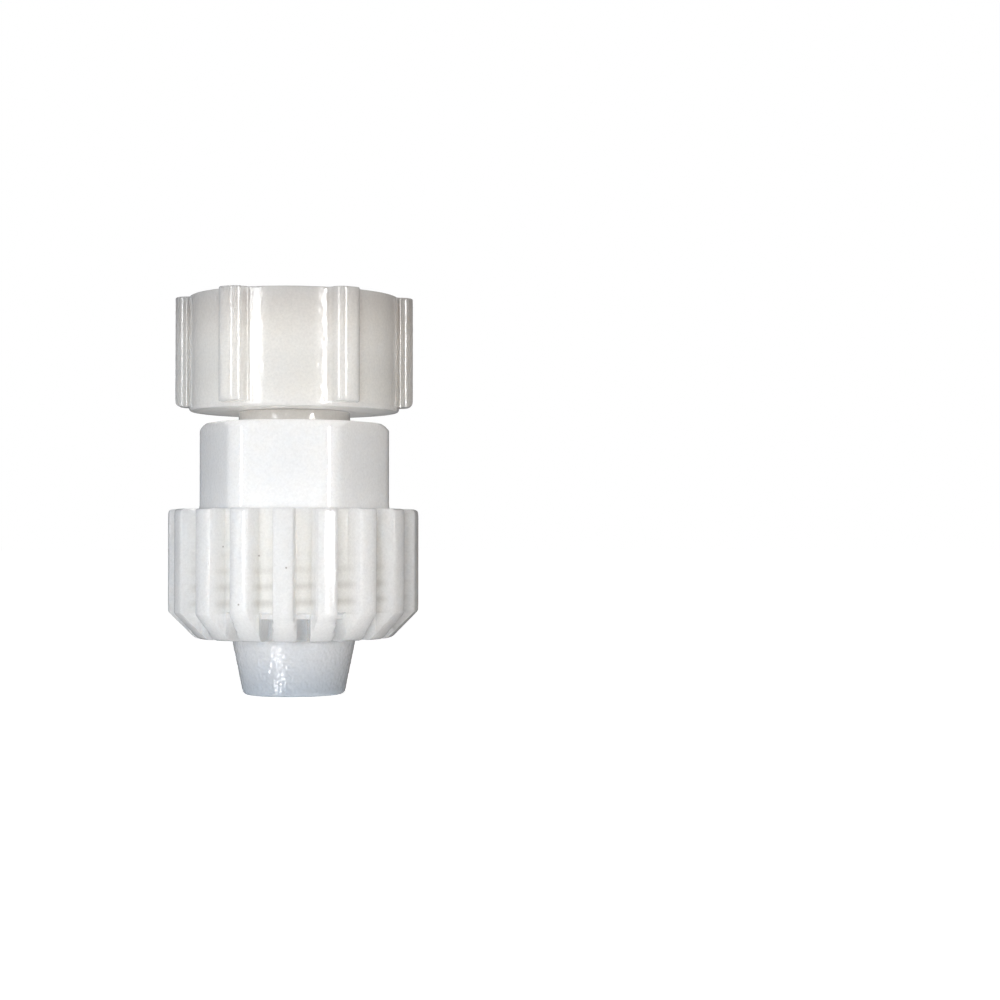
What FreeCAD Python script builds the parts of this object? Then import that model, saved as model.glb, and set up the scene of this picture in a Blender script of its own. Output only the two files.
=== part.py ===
import FreeCAD, Part
import math
import os

# Swivel pipe adapter for plastic tube, 1/2 inch pipe thread to 1/2 inch tube.
# Millimetres, +Z up, origin on the axis at the tip of the barb, on which the fitting stands.
# The front of the part faces -Y. Plan angles are counted from the front, positive towards +X.

# Barbed body, from the tip upwards
passage_radius = 4.5
tip_radius = 5.84
tip_bevel = 0.4
barb_radius = 7.15
barb_length = 6.35
barb_edge_bevel = 0.3
stem_radius = 6.0
stem_length = 14.2
body_thread_radius = 8.15
body_thread_length = 10.35
thread_lead_in = 0.6
neck_radius = 6.42
neck_length = 1.62
spindle_radius = 5.9
lip_overhang = 0.55
lip_land = 0.45
lip_lead_in_height = 0.85
lip_lead_in_depth = 0.5

# Compression nut, from its bottom upwards
nut_turn_clearance = 0.05
nut_top_above_thread = 0.29
nut_bore_bevel = 0.5
foot_bevel = 3.14
foot_edge_bevel = 0.8
foot_edge_bevel_height = 0.25
rib_count = 18
rib_length = 14.8
rib_height = 2.3
rib_crest_width = 2.2
rib_base_width = 2.56
rib_crest_rounding = 0.3
rib_root_rounding = 0.2
rib_top_bevel = 0.45
nut_wall_radius = 12.1
slot_width = 1.56
slot_height = 2.5
recess_height = 3.3
recess_depth = 0.9
hex_sides = 6
hex_across_flats = 19.8
hex_corner_radius = 11.0
hex_length = 9.9
hex_top_bevel = 0.7
nut_angle = -5.0
hex_angle = -7.3

# Swivel nut, from its bottom upwards
swivel_seat_clearance = 0.05
spindle_clearance = 0.07
web_thickness = 2.2
lip_axial_play = 0.2
swivel_length = 13.2
swivel_radius = 12.1
swivel_edge_bevel = 0.25
pipe_thread_radius = 9.6
pipe_thread_bevel = 0.8
washer_chamber_radius = 10.25
washer_chamber_play = 0.25
lobe_count = 6
lobe_height = 1.6
lobe_crest_width = 2.9
lobe_base_width = 3.3
lobe_crest_rounding = 1.2
lobe_root_rounding = 0.5
lobe_bottom_step = 0.5
lobe_edge_bevel = 0.45
lobe_angle = -33.2

# Sealing washer
washer_thickness = 2.4
washer_rim_clearance = 0.25
washer_hole_margin = 0.4
washer_cone_depth = 1.7
washer_cone_height = 1.2

# Stations along the axis that follow from the sizes above
body_thread_bottom_z = barb_length + stem_length
body_thread_top_z = body_thread_bottom_z + body_thread_length
swivel_seat_z = body_thread_top_z + neck_length
swivel_bottom_z = swivel_seat_z + swivel_seat_clearance
web_top_z = swivel_bottom_z + web_thickness
lip_bottom_z = web_top_z + lip_axial_play
lip_top_z = lip_bottom_z + lip_land + lip_lead_in_height
swivel_top_z = swivel_bottom_z + swivel_length
washer_top_z = lip_top_z + washer_thickness
pipe_thread_bottom_z = washer_top_z + washer_chamber_play
nut_top_z = body_thread_top_z + nut_top_above_thread
hex_bottom_z = nut_top_z - hex_length
nut_bottom_z = hex_bottom_z - rib_length

# Radii that follow from the sizes above
lip_radius = spindle_radius + lip_overhang
nut_bore_radius = body_thread_radius + nut_turn_clearance
rib_crest_radius = nut_wall_radius + rib_height
rib_corner_radius = math.hypot(rib_crest_radius, rib_crest_width / 2)
swivel_hole_radius = spindle_radius + spindle_clearance
lobe_crest_radius = swivel_radius + lobe_height
washer_radius = washer_chamber_radius - washer_rim_clearance
washer_hole_radius = passage_radius + washer_hole_margin

# Cutting tools reach past the faces that they cut by this much
overshoot = 2.0


def corner_arc(before, corner, after, rounding):
    """Return start, middle and end of the arc that rounds one corner of an outline."""
    to_before = (before - corner).normalize()
    to_after = (after - corner).normalize()
    half_angle = to_before.getAngle(to_after) / 2
    reach = rounding / math.tan(half_angle)
    inward = (to_before + to_after).normalize()
    sink = rounding / math.sin(half_angle) - rounding
    return corner + to_before * reach, corner + inward * sink, corner + to_after * reach


def turned(corners):
    """Revolve a closed profile about the Z axis. Each corner is (radius, height)."""
    points = [FreeCAD.Vector(radius, 0, height) for radius, height in corners]
    face = Part.Face(Part.makePolygon(points + points[:1]))
    return face.revolve(FreeCAD.Vector(0, 0, 0), FreeCAD.Vector(0, 0, 1), 360)


def plan_point(radius, angle, sideways=0.0):
    """Point at a radius in the direction of a plan angle, moved sideways to the right of it."""
    turn = math.radians(angle)
    outward = FreeCAD.Vector(math.sin(turn), -math.cos(turn), 0)
    right = FreeCAD.Vector(math.cos(turn), math.sin(turn), 0)
    return outward * radius + right * sideways


def root_arc(wall_radius, base, crest, rounding, side):
    """Return the arc between a round wall and the flank of a tooth, from the wall outwards."""
    along = (crest - base).normalize()
    to_valley = FreeCAD.Vector(-along.y, along.x, 0) * side
    offset = base.dot(to_valley) + rounding
    reach = math.sqrt((wall_radius + rounding) ** 2 - offset ** 2)
    centre = to_valley * offset + along * reach
    on_wall = centre * (wall_radius / (wall_radius + rounding))
    on_flank = centre - to_valley * rounding
    towards_corner = ((on_wall - centre) + (on_flank - centre)).normalize()
    return on_wall, centre + towards_corner * rounding, on_flank


def tooth_arcs(angle, root_radius, crest_radius, base_width, crest_width,
               root_rounding, crest_rounding):
    """Return the four rounded corners of one tooth, from its left root to its right root."""
    base_depth = math.sqrt(root_radius ** 2 - (base_width / 2) ** 2)
    base_left = plan_point(base_depth, angle, -base_width / 2)
    crest_left = plan_point(crest_radius, angle, -crest_width / 2)
    crest_right = plan_point(crest_radius, angle, crest_width / 2)
    base_right = plan_point(base_depth, angle, base_width / 2)
    right_root = root_arc(root_radius, base_right, crest_right, root_rounding, 1)
    return [
        root_arc(root_radius, base_left, crest_left, root_rounding, -1),
        corner_arc(base_left, crest_left, crest_right, crest_rounding),
        corner_arc(crest_left, crest_right, base_right, crest_rounding),
        tuple(reversed(right_root)),
    ]


def toothed_face(count, first_angle, root_radius, *tooth_sizes):
    """Plan outline of a round wall with evenly spaced teeth, each with sloping flanks."""
    pitch = 360 / count
    teeth = []
    for index in range(count):
        teeth.append(tooth_arcs(first_angle + index * pitch, root_radius, *tooth_sizes))
    edges = []
    for index, tooth in enumerate(teeth):
        for place, arc in enumerate(tooth):
            edges.append(Part.Arc(*arc).toShape())
            if place + 1 < len(tooth):
                edges.append(Part.LineSegment(arc[2], tooth[place + 1][0]).toShape())
        valley = plan_point(root_radius, first_angle + (index + 0.5) * pitch)
        next_tooth = teeth[(index + 1) % count]
        edges.append(Part.Arc(tooth[-1][2], valley, next_tooth[0][0]).toShape())
    return Part.Face(Part.Wire(edges))


def raised(face, bottom, top):
    """Extrude a plan face between two heights."""
    solid = face.extrude(FreeCAD.Vector(0, 0, top - bottom))
    solid.translate(FreeCAD.Vector(0, 0, bottom))
    return solid


def make_barbed_body():
    """One moulding: barb, stem, shoulder that carries the nut, neck, spindle and snap lip."""
    return turned([
        (passage_radius, 0),
        (tip_radius - tip_bevel, 0),
        (tip_radius, tip_bevel),
        (barb_radius, barb_length - barb_edge_bevel),
        (barb_radius - barb_edge_bevel, barb_length),
        (stem_radius, barb_length),
        (stem_radius, body_thread_bottom_z),
        (body_thread_radius - thread_lead_in, body_thread_bottom_z),
        (body_thread_radius, body_thread_bottom_z + thread_lead_in),
        (body_thread_radius, body_thread_top_z),
        (neck_radius, body_thread_top_z),
        (neck_radius, swivel_seat_z),
        (spindle_radius, swivel_seat_z),
        (spindle_radius, lip_bottom_z),
        (lip_radius, lip_bottom_z),
        (lip_radius, lip_bottom_z + lip_land),
        (lip_radius - lip_lead_in_depth, lip_top_z),
        (passage_radius, lip_top_z),
    ])


def make_ribbed_grip():
    """Lower grip of the compression nut: ribs with bevelled tops and a bevelled foot."""
    plan = toothed_face(
        rib_count, nut_angle, nut_wall_radius, rib_crest_radius, rib_base_width,
        rib_crest_width, rib_root_rounding, rib_crest_rounding,
    )
    ribs = raised(plan, nut_bottom_z, hex_bottom_z)
    foot_radius = rib_corner_radius - foot_bevel
    envelope = turned([
        (0, nut_bottom_z),
        (foot_radius - foot_edge_bevel, nut_bottom_z),
        (foot_radius + foot_edge_bevel_height, nut_bottom_z + foot_edge_bevel_height),
        (rib_corner_radius, nut_bottom_z + foot_bevel),
        (rib_corner_radius, hex_bottom_z - rib_top_bevel),
        (rib_corner_radius - rib_top_bevel, hex_bottom_z),
        (0, hex_bottom_z),
    ])
    return ribs.common(envelope)


def make_hex_grip():
    """Upper grip of the compression nut: a hexagon turned down at its corners."""
    side_angle = 360 / hex_sides
    corner_reach = hex_across_flats / 2 / math.cos(math.radians(side_angle / 2))
    corners = []
    for side in range(hex_sides):
        corners.append(plan_point(corner_reach, hex_angle + (side + 0.5) * side_angle))
    hexagon = Part.Face(Part.makePolygon(corners + corners[:1]))
    prism = raised(hexagon, hex_bottom_z - overshoot, nut_top_z)
    blank = turned([
        (0, hex_bottom_z - overshoot),
        (hex_corner_radius, hex_bottom_z - overshoot),
        (hex_corner_radius, nut_top_z - hex_top_bevel),
        (hex_corner_radius - hex_top_bevel, nut_top_z),
        (0, nut_top_z),
    ])
    return prism.common(blank)


def radial_slots(inner_radius, height):
    """Slots between the ribs, cut outwards from a radius, up from the foot of the nut."""
    reach = rib_corner_radius + overshoot - inner_radius
    pitch = 360 / rib_count
    slots = []
    for index in range(rib_count):
        angle = nut_angle + (index + 0.5) * pitch
        slot = Part.makeBox(slot_width, reach, height + overshoot)
        slot.translate(FreeCAD.Vector(-slot_width / 2, -inner_radius - reach, 0))
        slot.rotate(FreeCAD.Vector(0, 0, 0), FreeCAD.Vector(0, 0, 1), angle)
        slot.translate(FreeCAD.Vector(0, 0, nut_bottom_z - overshoot))
        slots.append(slot)
    return slots


def make_compression_nut():
    """One moulding: ribbed grip with a crown of open slots, hexagon and threaded bore."""
    nut = make_ribbed_grip().fuse(make_hex_grip())
    bore = turned([
        (0, nut_bottom_z - overshoot),
        (nut_bore_radius, nut_bottom_z - overshoot),
        (nut_bore_radius, nut_top_z - nut_bore_bevel),
        (nut_bore_radius + nut_bore_bevel, nut_top_z),
        (nut_bore_radius + nut_bore_bevel, nut_top_z + overshoot),
        (0, nut_top_z + overshoot),
    ])
    nut = nut.cut(bore)
    nut = nut.cut(radial_slots(nut_bore_radius - overshoot, slot_height))
    nut = nut.cut(radial_slots(nut_wall_radius - recess_depth, recess_height))
    return nut.removeSplitter()


def make_swivel_nut():
    """One moulding: threaded ring with finger lobes and a web that turns on the spindle."""
    lobe_bottom_z = swivel_bottom_z + lobe_bottom_step
    plan = toothed_face(
        lobe_count, lobe_angle, swivel_radius, lobe_crest_radius, lobe_base_width,
        lobe_crest_width, lobe_root_rounding, lobe_crest_rounding,
    )
    flat_crest_width = lobe_crest_width - 2 * lobe_crest_rounding
    lobe_end_radius = math.hypot(lobe_crest_radius, flat_crest_width / 2)
    collar = raised(plan, lobe_bottom_z, swivel_top_z)
    envelope = turned([
        (0, lobe_bottom_z),
        (lobe_end_radius - lobe_edge_bevel, lobe_bottom_z),
        (lobe_end_radius, lobe_bottom_z + lobe_edge_bevel),
        (lobe_end_radius, swivel_top_z - swivel_edge_bevel),
        (lobe_end_radius - swivel_edge_bevel, swivel_top_z),
        (0, swivel_top_z),
    ])
    foot = turned([
        (0, swivel_bottom_z),
        (swivel_radius - swivel_edge_bevel, swivel_bottom_z),
        (swivel_radius, swivel_bottom_z + swivel_edge_bevel),
        (swivel_radius, lobe_bottom_z),
        (0, lobe_bottom_z),
    ])
    outside = collar.common(envelope).fuse(foot)
    inside = turned([
        (0, swivel_bottom_z - overshoot),
        (swivel_hole_radius, swivel_bottom_z - overshoot),
        (swivel_hole_radius, web_top_z),
        (washer_chamber_radius, web_top_z),
        (washer_chamber_radius, pipe_thread_bottom_z),
        (pipe_thread_radius, pipe_thread_bottom_z),
        (pipe_thread_radius, swivel_top_z - pipe_thread_bevel),
        (pipe_thread_radius + pipe_thread_bevel, swivel_top_z),
        (pipe_thread_radius + pipe_thread_bevel, swivel_top_z + overshoot),
        (0, swivel_top_z + overshoot),
    ])
    return outside.cut(inside).removeSplitter()


def make_sealing_washer():
    """Soft cone washer on the end of the body, against which the pipe end is drawn."""
    return turned([
        (washer_hole_radius, lip_top_z),
        (washer_radius, lip_top_z),
        (washer_radius, washer_top_z - washer_cone_height),
        (washer_radius - washer_cone_depth, washer_top_z),
        (washer_hole_radius, washer_top_z),
    ])


def main():
    """Build the pieces and write each one to its own file."""
    os.makedirs("parts", exist_ok=True)
    pieces = {
        "barbed_body": make_barbed_body(),
        "compression_nut": make_compression_nut(),
        "swivel_nut": make_swivel_nut(),
        "sealing_washer": make_sealing_washer(),
    }
    for name, shape in pieces.items():
        box = shape.BoundBox
        print(name, "valid", shape.isValid(), "solids", len(shape.Solids),
              "volume", round(shape.Volume, 1), "z", round(box.ZMin, 2), round(box.ZMax, 2),
              "width", round(box.XLength, 2))
        shape.exportStep("parts/" + name + ".step")


main()
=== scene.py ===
# %% [markdown]
# # A swivel adapter for plastic tube
# A threaded adapter of milky moulded plastic: a barbed body that a tube is pushed over, a
# ribbed nut that clamps the tube, and a lobed swivel nut that screws onto a pipe.
# The solids are already built, in metres, and come in as a fixed frame. This lesson gives each
# of them its moulded roundings, threads and plastic, and then lights and frames the picture.

# %% Load the frame
import math

import bpy
import numpy as np
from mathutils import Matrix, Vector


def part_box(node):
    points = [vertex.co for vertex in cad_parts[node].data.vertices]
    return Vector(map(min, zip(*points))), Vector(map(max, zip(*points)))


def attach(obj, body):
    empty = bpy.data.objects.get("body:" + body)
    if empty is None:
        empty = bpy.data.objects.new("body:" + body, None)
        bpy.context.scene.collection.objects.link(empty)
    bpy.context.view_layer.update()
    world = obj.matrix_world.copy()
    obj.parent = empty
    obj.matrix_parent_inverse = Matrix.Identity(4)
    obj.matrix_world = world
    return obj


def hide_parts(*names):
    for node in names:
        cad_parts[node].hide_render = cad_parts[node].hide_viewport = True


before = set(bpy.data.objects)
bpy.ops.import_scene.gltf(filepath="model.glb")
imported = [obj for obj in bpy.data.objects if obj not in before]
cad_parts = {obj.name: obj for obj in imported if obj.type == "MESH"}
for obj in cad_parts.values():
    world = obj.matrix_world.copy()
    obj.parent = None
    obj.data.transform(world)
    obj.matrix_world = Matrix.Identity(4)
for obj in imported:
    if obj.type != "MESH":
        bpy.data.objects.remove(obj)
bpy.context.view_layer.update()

MM = 0.001
FULL_TURN = 2 * math.pi
print("solids in the frame:", sorted(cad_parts))

# %% [markdown]
# ## Plan angles
# All the pieces turn about one upright axis, so every surface is worked out in the same
# coordinates: a plan angle, a radius and a height. Angle 0 faces the camera, which is -Y, and
# angles grow towards +X. Working with whole arrays of angles, radii and heights keeps each
# piece down to a few lines.


# %% Coordinates round the axis
def around(radius, angle, height):
    """Points from radius, plan angle and height: x is radius times sine, y is minus radius
    times cosine, z is the height. The three arrays broadcast against each other."""
    radius, angle, height = np.broadcast_arrays(radius, angle, height)
    return np.stack([radius * np.sin(angle), -radius * np.cos(angle), height], axis=-1)


print("10 mm out, a quarter turn from the camera:", around(10.0, FULL_TURN / 4, 0.0).round(3))

# %% [markdown]
# ## Soft joins
# Moulded shapes run into each other without a crease. Two small formulas do nearly all of that
# here: a ramp that starts and ends level, and a minimum whose crease is rounded off.


# %% Ramp and minimum
def smoothstep(share):
    """Soft ramp from 0 to 1: three times the square of the share, less twice its cube."""
    share = np.clip(share, 0.0, 1.0)
    return share * share * (3 - 2 * share)


def soft_minimum(first, second, softness):
    """The smaller of two arrays, with the crease between them rounded off: where they differ
    by less than the softness, the share of overlap squared lowers the result a little."""
    overlap = np.clip(1 - np.abs(first - second) / softness, 0, 1)
    return np.minimum(first, second) - overlap ** 2 * softness / 4


print("ramp at a quarter and at three quarters:", smoothstep(np.array([0.25, 0.75])))

# %% [markdown]
# ## One grid, one skin
# Each piece of the fitting is a ring of solid plastic, so its skin can be one grid of points
# that wraps round both ways. Parts could also be joined by boolean modifiers, but a single grid
# can't leave a hole or a stray face, and its triangles can be counted beforehand.


# %% Grid to mesh
def ring_mesh(name, points, sharp_degrees=38.0):
    """Closed ring of quads on a grid of points whose rows and columns both wrap round. Rows
    climb the outside and come down the inside, columns go round, so faces point outwards."""
    rows, columns = points.shape[:2]
    index = np.arange(rows * columns).reshape(rows, columns)
    above = np.roll(index, -1, axis=0)
    quads = np.stack(
        [index, np.roll(index, -1, axis=1), np.roll(above, -1, axis=1), above], axis=-1
    ).reshape(-1, 4)
    mesh = bpy.data.meshes.new(name)
    mesh.vertices.add(rows * columns)
    mesh.vertices.foreach_set("co", (points * MM).astype(np.float32).ravel())
    mesh.loops.add(quads.size)
    mesh.loops.foreach_set("vertex_index", quads.ravel().astype(np.int32))
    mesh.polygons.add(len(quads))
    mesh.polygons.foreach_set("loop_start", np.arange(0, quads.size, 4, dtype=np.int32))
    mesh.update(calc_edges=True)
    mesh.validate()
    mesh.polygons.foreach_set("use_smooth", np.ones(len(quads), dtype=bool))
    mesh.set_sharp_from_angle(angle=math.radians(sharp_degrees))
    piece = bpy.data.objects.new(name, mesh)
    bpy.context.scene.collection.objects.link(piece)
    print(f"{name}: {rows} rows by {columns} columns, {2 * len(quads)} triangles")
    return piece


# %% [markdown]
# ## Profiles with rounded corners
# A mould has no knife edges. A turned profile is given as a few corners, each with its own
# rounding, and comes back as a dense line of points, ready to be carried round the axis.


# %% Rounded profiles
def rounded_line(corners, arc_points=5):
    """Line of points through corners (radius, height, rounding, step). Each corner becomes an
    arc tangent to its two sides: its centre lies on the bisector, at the rounding divided by
    the sine of half the corner's angle. The straight run after it is divided into steps."""
    spots = np.array([corner[:2] for corner in corners], float)
    rounding, step = np.array([corner[2:] for corner in corners], float).T
    to_before = np.roll(spots, 1, axis=0) - spots
    to_after = np.roll(spots, -1, axis=0) - spots
    to_before /= np.linalg.norm(to_before, axis=1, keepdims=True)
    to_after /= np.linalg.norm(to_after, axis=1, keepdims=True)
    half = np.arccos(np.clip((to_before * to_after).sum(axis=1), -1, 1)) / 2
    inward = to_before + to_after
    inward /= np.maximum(np.linalg.norm(inward, axis=1, keepdims=True), 1e-9)
    centre = spots + inward * (rounding / np.sin(half))[:, None]
    start = spots + to_before * (rounding / np.tan(half))[:, None]
    end = spots + to_after * (rounding / np.tan(half))[:, None]
    share = np.linspace(0, 1, arc_points)[None, :, None]
    opening = np.maximum(math.pi - 2 * half, 1e-6)[:, None, None]
    arcs = centre[:, None] + (
        np.sin((1 - share) * opening) * (start - centre)[:, None]
        + np.sin(share * opening) * (end - centre)[:, None]
    ) / np.sin(opening)
    line = []
    for place, arc in enumerate(arcs):
        line.append(arc if rounding[place] > 0 else spots[place:place + 1])
        target = start[(place + 1) % len(corners)]
        pieces = max(1, math.ceil(np.linalg.norm(target - line[-1][-1]) / step[place]))
        inner = np.linspace(0, 1, pieces + 1)[1:-1, None]
        line.append(line[-1][-1] + inner * (target - line[-1][-1]))
    return np.concatenate(line)


# %% [markdown]
# ## Screw threads
# Both inner threads and the body's thread have the same pitch, 14 turns to the inch. A thread
# can be swept along a helix, but then it has to be joined to its wall. Here the wall itself is
# pushed in and out by a soft wave that runs round and up, so the piece stays one closed skin.

# %% The thread as a wave
thread_pitch = 25.4 / 14


def thread_wave(angle, height, flat=0.22):
    """Right-hand thread between 0 and 1: the height in pitches less the angle in turns gives
    the place in the thread, a triangle wave of it the flanks, cut flat at root and crest."""
    place = height / thread_pitch - angle / FULL_TURN
    triangle = np.abs((place % 1.0) * 2 - 1)
    return smoothstep((triangle - flat) / (1 - 2 * flat))


def thread_run(height, bottom, top, fade):
    """1 between two heights and 0 outside them, with soft run-outs of the fade's length."""
    return smoothstep((height - bottom) / fade) * smoothstep((top - height) / fade)


print("thread pitch:", round(thread_pitch, 3), "mm")

# %% [markdown]
# ## Orange peel
# Moulded skins are never quite smooth: pits of a few hundredths of a millimetre break the
# highlights up into sparkles. A bump in the material can do that for the finest grain. The pits
# that the eye still sees one by one are pressed into the grid itself.

# %% Pits in a skin
peel_seed = 5


def orange_peel(angle, height, radius, cell, depth):
    """How deep the skin is pressed in, between 0 and depth: random values at the knots of a
    lattice of cells, wrapped round at a radius, and between the knots the four nearest values
    mixed by soft ramps across and up."""
    angle, height = np.broadcast_arrays(angle, height)
    columns = round(FULL_TURN * radius / cell)
    across = (angle / FULL_TURN % 1.0) * columns
    up = (height - height.min()) / cell
    knots = np.random.default_rng(peel_seed).random((int(up.max()) + 2, columns))
    column, row = across.astype(int) % columns, up.astype(int)
    beside = (column + 1) % columns
    side_share, up_share = smoothstep(across % 1.0), smoothstep(up % 1.0)
    below = knots[row, column] * (1 - side_share) + knots[row, beside] * side_share
    above = knots[row + 1, column] * (1 - side_share) + knots[row + 1, beside] * side_share
    return depth * (below * (1 - up_share) + above * up_share)


print("orange peel: random values seeded with", peel_seed)

# %% [markdown]
# ## Ribs and lobes
# The compression nut has 18 ribs and the swivel nut six lobes for the fingers. Both are teeth
# on a round wall: a hollow at the root, a straight flank, a rounded corner and a flat crest.
# One tooth is drawn as half an outline and mirrored, and the whole ring repeats it.


# %% Outline of one tooth
def half_tooth(wall, crest, base_width, crest_width, root_round, crest_round, counts):
    """Half outline of a tooth, from its root on the wall to the middle of its crest, as plan
    angles from the tooth's axis and radii. The flank joins two points of the wall and crest;
    the hollow at its root is an arc that touches wall and flank, and the crest corner an arc
    that touches flank and crest. The counts are the points on root, flank, corner and crest."""
    base = np.array([base_width / 2, math.sqrt(wall ** 2 - (base_width / 2) ** 2)])
    corner = np.array([crest_width / 2, crest])
    along = (corner - base) / np.linalg.norm(corner - base)
    away = np.array([along[1], -along[0]])
    offset = base @ away + root_round
    centre = away * offset + along * math.sqrt((wall + root_round) ** 2 - offset ** 2)
    on_wall = centre * wall / (wall + root_round)
    on_flank = centre - away * root_round
    root_start = math.atan2(*(on_wall - centre)[::-1])
    root_end = math.atan2(*(on_flank - centre)[::-1])
    turn = (root_end - root_start + math.pi) % FULL_TURN - math.pi
    sweep = root_start + turn * np.linspace(0, 1, counts[0])
    root = centre + root_round * np.stack([np.cos(sweep), np.sin(sweep)], axis=-1)
    half = math.acos(float(np.clip(-along @ np.array([-1.0, 0.0]), -1, 1))) / 2
    reach = crest_round / math.tan(half)
    flank_end = corner - along * reach
    middle = flank_end - away * crest_round
    first = math.atan2(away[1], away[0])
    sweep = first + (math.pi / 2 - first) * np.linspace(0, 1, counts[2])
    top_arc = middle + crest_round * np.stack([np.cos(sweep), np.sin(sweep)], axis=-1)
    flank = root[-1] + np.linspace(0, 1, counts[1] + 2)[1:-1, None] * (top_arc[0] - root[-1])
    flat = top_arc[-1] * (1 - np.linspace(0, 1, counts[3] + 1)[1:, None])
    flat[:, 1] = crest
    outline = np.concatenate([root, flank, top_arc, flat])
    return np.arctan2(outline[:, 0], outline[:, 1]), np.hypot(outline[:, 0], outline[:, 1])


def ring_of_teeth(half_angle, half_radius, count, first_angle, wall, valley_shares):
    """Mirror half a tooth about its crest, add the valley beside it, and repeat it round the
    ring. Gives every column's tooth axis, its angle from that axis and its radius, starting
    in the middle of a valley. The shares place the valley's columns between its middle, 0,
    and the tooth's root, 1."""
    pitch = FULL_TURN / count
    valley = pitch / 2 + np.array(valley_shares) * (half_angle[0] - pitch / 2)
    right_angle = np.concatenate([valley, half_angle])
    right_radius = np.concatenate([np.full(len(valley), wall), half_radius])
    tooth_angle = np.concatenate([-right_angle, right_angle[::-1][1:-1]])
    tooth_radius = np.concatenate([right_radius, right_radius[::-1][1:-1]])
    axes = math.radians(first_angle) + pitch * np.arange(count)
    axis = np.repeat(axes, len(tooth_angle))
    return axis, np.tile(tooth_angle, count), np.tile(tooth_radius, count)


# %% [markdown]
# ## The swivel nut
# The collar that screws onto the pipe: one moulding with six finger lobes, a thin web below
# that turns on the body, a chamber for the soft washer and the pipe thread above it. Its skin
# is one grid. Each row is a height, outside going up and inside coming down, and each column a
# plan angle, so the lobes are simply a larger radius in some of the columns.

# %% Sizes of the swivel nut
swivel_low, swivel_high = [corner.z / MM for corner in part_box("swivel_nut")]
swivel_wall = 12.1
lobe_count = 6
lobe_crest = 13.7
first_lobe = -33.2
lobe_bottom = swivel_low + 0.5
lobe_foot_round = 0.75
swivel_foot_round = 0.3
swivel_top_round = 0.2
pipe_thread_wall = 9.6
pipe_thread_bottom = 38.92
pipe_thread_depth = 0.95
pipe_lead_in = 0.8
chamber_radius = 10.25
web_top = 34.77
swivel_hole = 5.97

valley_columns = 26
lobe_angles, lobe_radii = half_tooth(
    swivel_wall, lobe_crest, base_width=3.3, crest_width=2.9, root_round=0.5, crest_round=1.2,
    counts=(7, 3, 12, 2)
)
lobe_axis, lobe_turn, swivel_outline = ring_of_teeth(
    lobe_angles, lobe_radii, lobe_count, first_lobe, swivel_wall,
    valley_shares=np.linspace(0, 1, valley_columns + 1)[:-1]
)
swivel_angle = lobe_axis + lobe_turn
print(f"swivel nut: {len(swivel_angle)} columns from {swivel_low:.2f} to {swivel_high:.2f} mm")

# %% [markdown]
# ### Its outside
# A lobe's lower end is rounded like a finger tip. A bevel could round it edge by edge. Here the
# rows near it take the smaller of two radii, the lobes' outline and a turned envelope, which
# leaves the valleys between the lobes alone.

# %% Outside rows of the swivel nut
step_rows = 5
step_rise = 0.012
lobe_softness = 0.12
swivel_wall_rows = 56


def swivel_outside(outline):
    """Outside rows: the foot's rounded edge, the step out to the lobes with their rounded
    lower ends, the straight wall and the rounded top edge."""
    turn = np.linspace(0, math.pi / 2, 6)
    foot_inset = swivel_foot_round * (1 - np.sin(turn))
    foot_height = swivel_low + swivel_foot_round * (1 - np.cos(turn))
    reach = lobe_crest + 0.05
    step_radius = np.linspace(swivel_wall + 0.1, reach - lobe_foot_round, step_rows)
    step_height = lobe_bottom + step_rise * np.arange(step_rows)
    end_radius = reach - lobe_foot_round * (1 - np.sin(turn[1:]))
    end_height = step_height[-1] + lobe_foot_round * (1 - np.cos(turn[1:]))
    wall_height = np.linspace(
        end_height[-1] + 0.3, swivel_high - swivel_top_round, swivel_wall_rows
    )
    top_inset = swivel_top_round * (1 - np.cos(turn))[1:]
    top_height = swivel_high - swivel_top_round * (1 - np.sin(turn))[1:]
    foot = swivel_wall - foot_inset[:, None] + 0 * outline
    envelope = np.concatenate([[swivel_wall], step_radius, end_radius])[:, None]
    lobes = np.maximum(soft_minimum(outline, envelope, lobe_softness), swivel_wall - 0.03)
    wall = outline + 0 * wall_height[:, None]
    top = outline - top_inset[:, None]
    radius = np.concatenate([foot, lobes, wall, top])
    height = np.concatenate([
        foot_height, [lobe_bottom - 0.02], step_height, end_height, wall_height, top_height
    ])
    return radius, height


outer_radius, outer_height = swivel_outside(swivel_outline)
print("outside:", len(outer_height), "rows")

# %% [markdown]
# ### Its inside
# The pipe screws into the collar and presses on the washer. Below the thread the wall steps out
# to the washer's chamber, and the web at the bottom leaves a hole for the body.


# %% Inside rows of the swivel nut
def swivel_inside():
    """Inside rows: across the top to the lead-in, down the pipe thread's wall, out to the
    washer's chamber, in along the web and down its hole."""
    mouth = pipe_thread_wall + pipe_lead_in
    return rounded_line([
        (mouth + 0.6, swivel_high, 0, 1),
        (mouth, swivel_high, 0.15, 0.3),
        (pipe_thread_wall, swivel_high - pipe_lead_in, 0.1, 0.14),
        (pipe_thread_wall, pipe_thread_bottom, 0.1, 0.3),
        (chamber_radius, pipe_thread_bottom, 0.1, 0.8),
        (chamber_radius, web_top, 0.3, 1.2),
        (swivel_hole, web_top, 0.15, 0.6),
        (swivel_hole, swivel_low, 0.15, 1.5),
        (swivel_wall - 1.0, swivel_low, 0, 10),
    ], arc_points=4)[:-1]


inner = swivel_inside()
print("inside:", len(inner), "rows")

# %% Skin of the swivel nut
pipe_thread_fade = 0.7

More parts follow.
